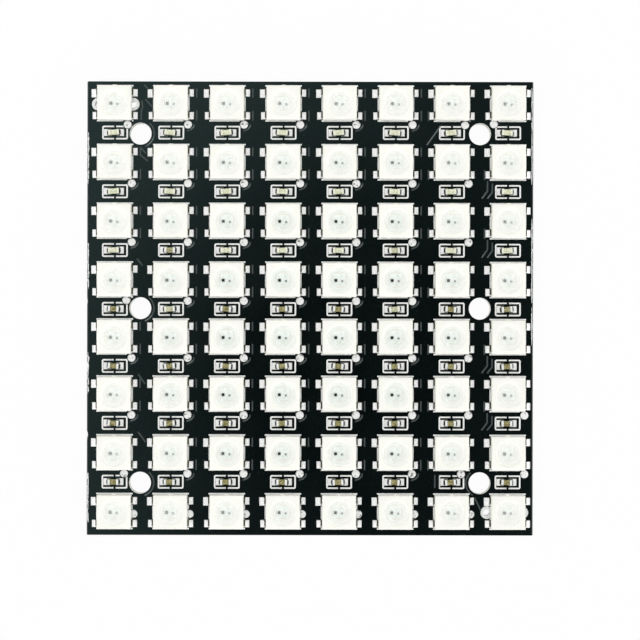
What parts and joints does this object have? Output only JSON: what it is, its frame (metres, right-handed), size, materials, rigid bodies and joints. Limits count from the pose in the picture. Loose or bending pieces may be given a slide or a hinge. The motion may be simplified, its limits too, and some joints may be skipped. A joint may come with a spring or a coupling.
{
  "type": "rgb led matrix panel",
  "caption": "Rectangular bare circuit board with a square grid of surface-mount colour LEDs, a small capacitor under each LED of the upper rows, mounting holes and data header holes.",
  "frame": {"origin": "middle of the board's back face", "axes": "+X to the right and +Y to the top row, seen from the LED side; +Z out of the LED side, away from the surface that the board lies on"},
  "size_m": [0.065, 0.066, 0.0032],
  "materials": {
    "solder_mask": "black solder mask with a semi-gloss sheen",
    "glass_fibre_laminate": "glass fibre and epoxy, rough where the board was snapped from its neighbour",
    "copper": "copper under the solder mask",
    "solder": "bright tin solder",
    "tinned_holes": "tinned copper rings and sleeves",
    "white_print": "matt white printed ink",
    "led_housing": "white moulded plastic",
    "led_lead_frame": "silver-plated copper strip",
    "led_resin": "milky clear resin",
    "driver_silicon": "bare dark silicon chip",
    "red_chip": "small grey light-emitting chip",
    "clear_chip": "small clear light-emitting chip",
    "capacitor_ceramic": "tan ceramic",
    "capacitor_tin": "tinned metal ends"
  },
  "bodies": {
    "root": {"board_laminate": "glass_fibre_laminate", "solder_mask_front": "solder_mask", "solder_mask_back": "solder_mask", "back_copper_plane": "copper", "front_tracks": "copper", "filled_holes": "solder", "data_in_header_holes": "tinned_holes", "data_out_header_holes": "tinned_holes", "printed_led_frames": "white_print", "printed_capacitor_frames": "white_print", "led_housings_row_1": "led_housing", "led_housings_row_2": "led_housing", "led_housings_row_3": "led_housing", "led_housings_row_4": "led_housing", "led_housings_row_5": "led_housing", "led_housings_row_6": "led_housing", "led_housings_row_7": "led_housing", "led_housings_row_8": "led_housing", "led_leads_row_1": "led_lead_frame", "led_leads_row_2": "led_lead_frame", "led_leads_row_3": "led_lead_frame", "led_leads_row_4": "led_lead_frame", "led_leads_row_5": "led_lead_frame", "led_leads_row_6": "led_lead_frame", "led_leads_row_7": "led_lead_frame", "led_leads_row_8": "led_lead_frame", "led_resin_row_1": "led_resin", "led_resin_row_2": "led_resin", "led_resin_row_3": "led_resin", "led_resin_row_4": "led_resin", "led_resin_row_5": "led_resin", "led_resin_row_6": "led_resin", "led_resin_row_7": "led_resin", "led_resin_row_8": "led_resin", "driver_chips": "driver_silicon", "red_chips": "red_chip", "green_chips": "clear_chip", "blue_chips": "clear_chip", "led_pads_row_1": "solder", "led_pads_row_2": "solder", "led_pads_row_3": "solder", "led_pads_row_4": "solder", "led_pads_row_5": "solder", "led_pads_row_6": "solder", "led_pads_row_7": "solder", "led_pads_row_8": "solder", "capacitor_bodies_row_1": "capacitor_ceramic", "capacitor_bodies_row_2": "capacitor_ceramic", "capacitor_bodies_row_3": "capacitor_ceramic", "capacitor_bodies_row_4": "capacitor_ceramic", "capacitor_bodies_row_5": "capacitor_ceramic", "capacitor_bodies_row_6": "capacitor_ceramic", "capacitor_bodies_row_7": "capacitor_ceramic", "capacitor_ends": "capacitor_tin", "capacitor_pads": "solder"}
  },
  "joints": []
}
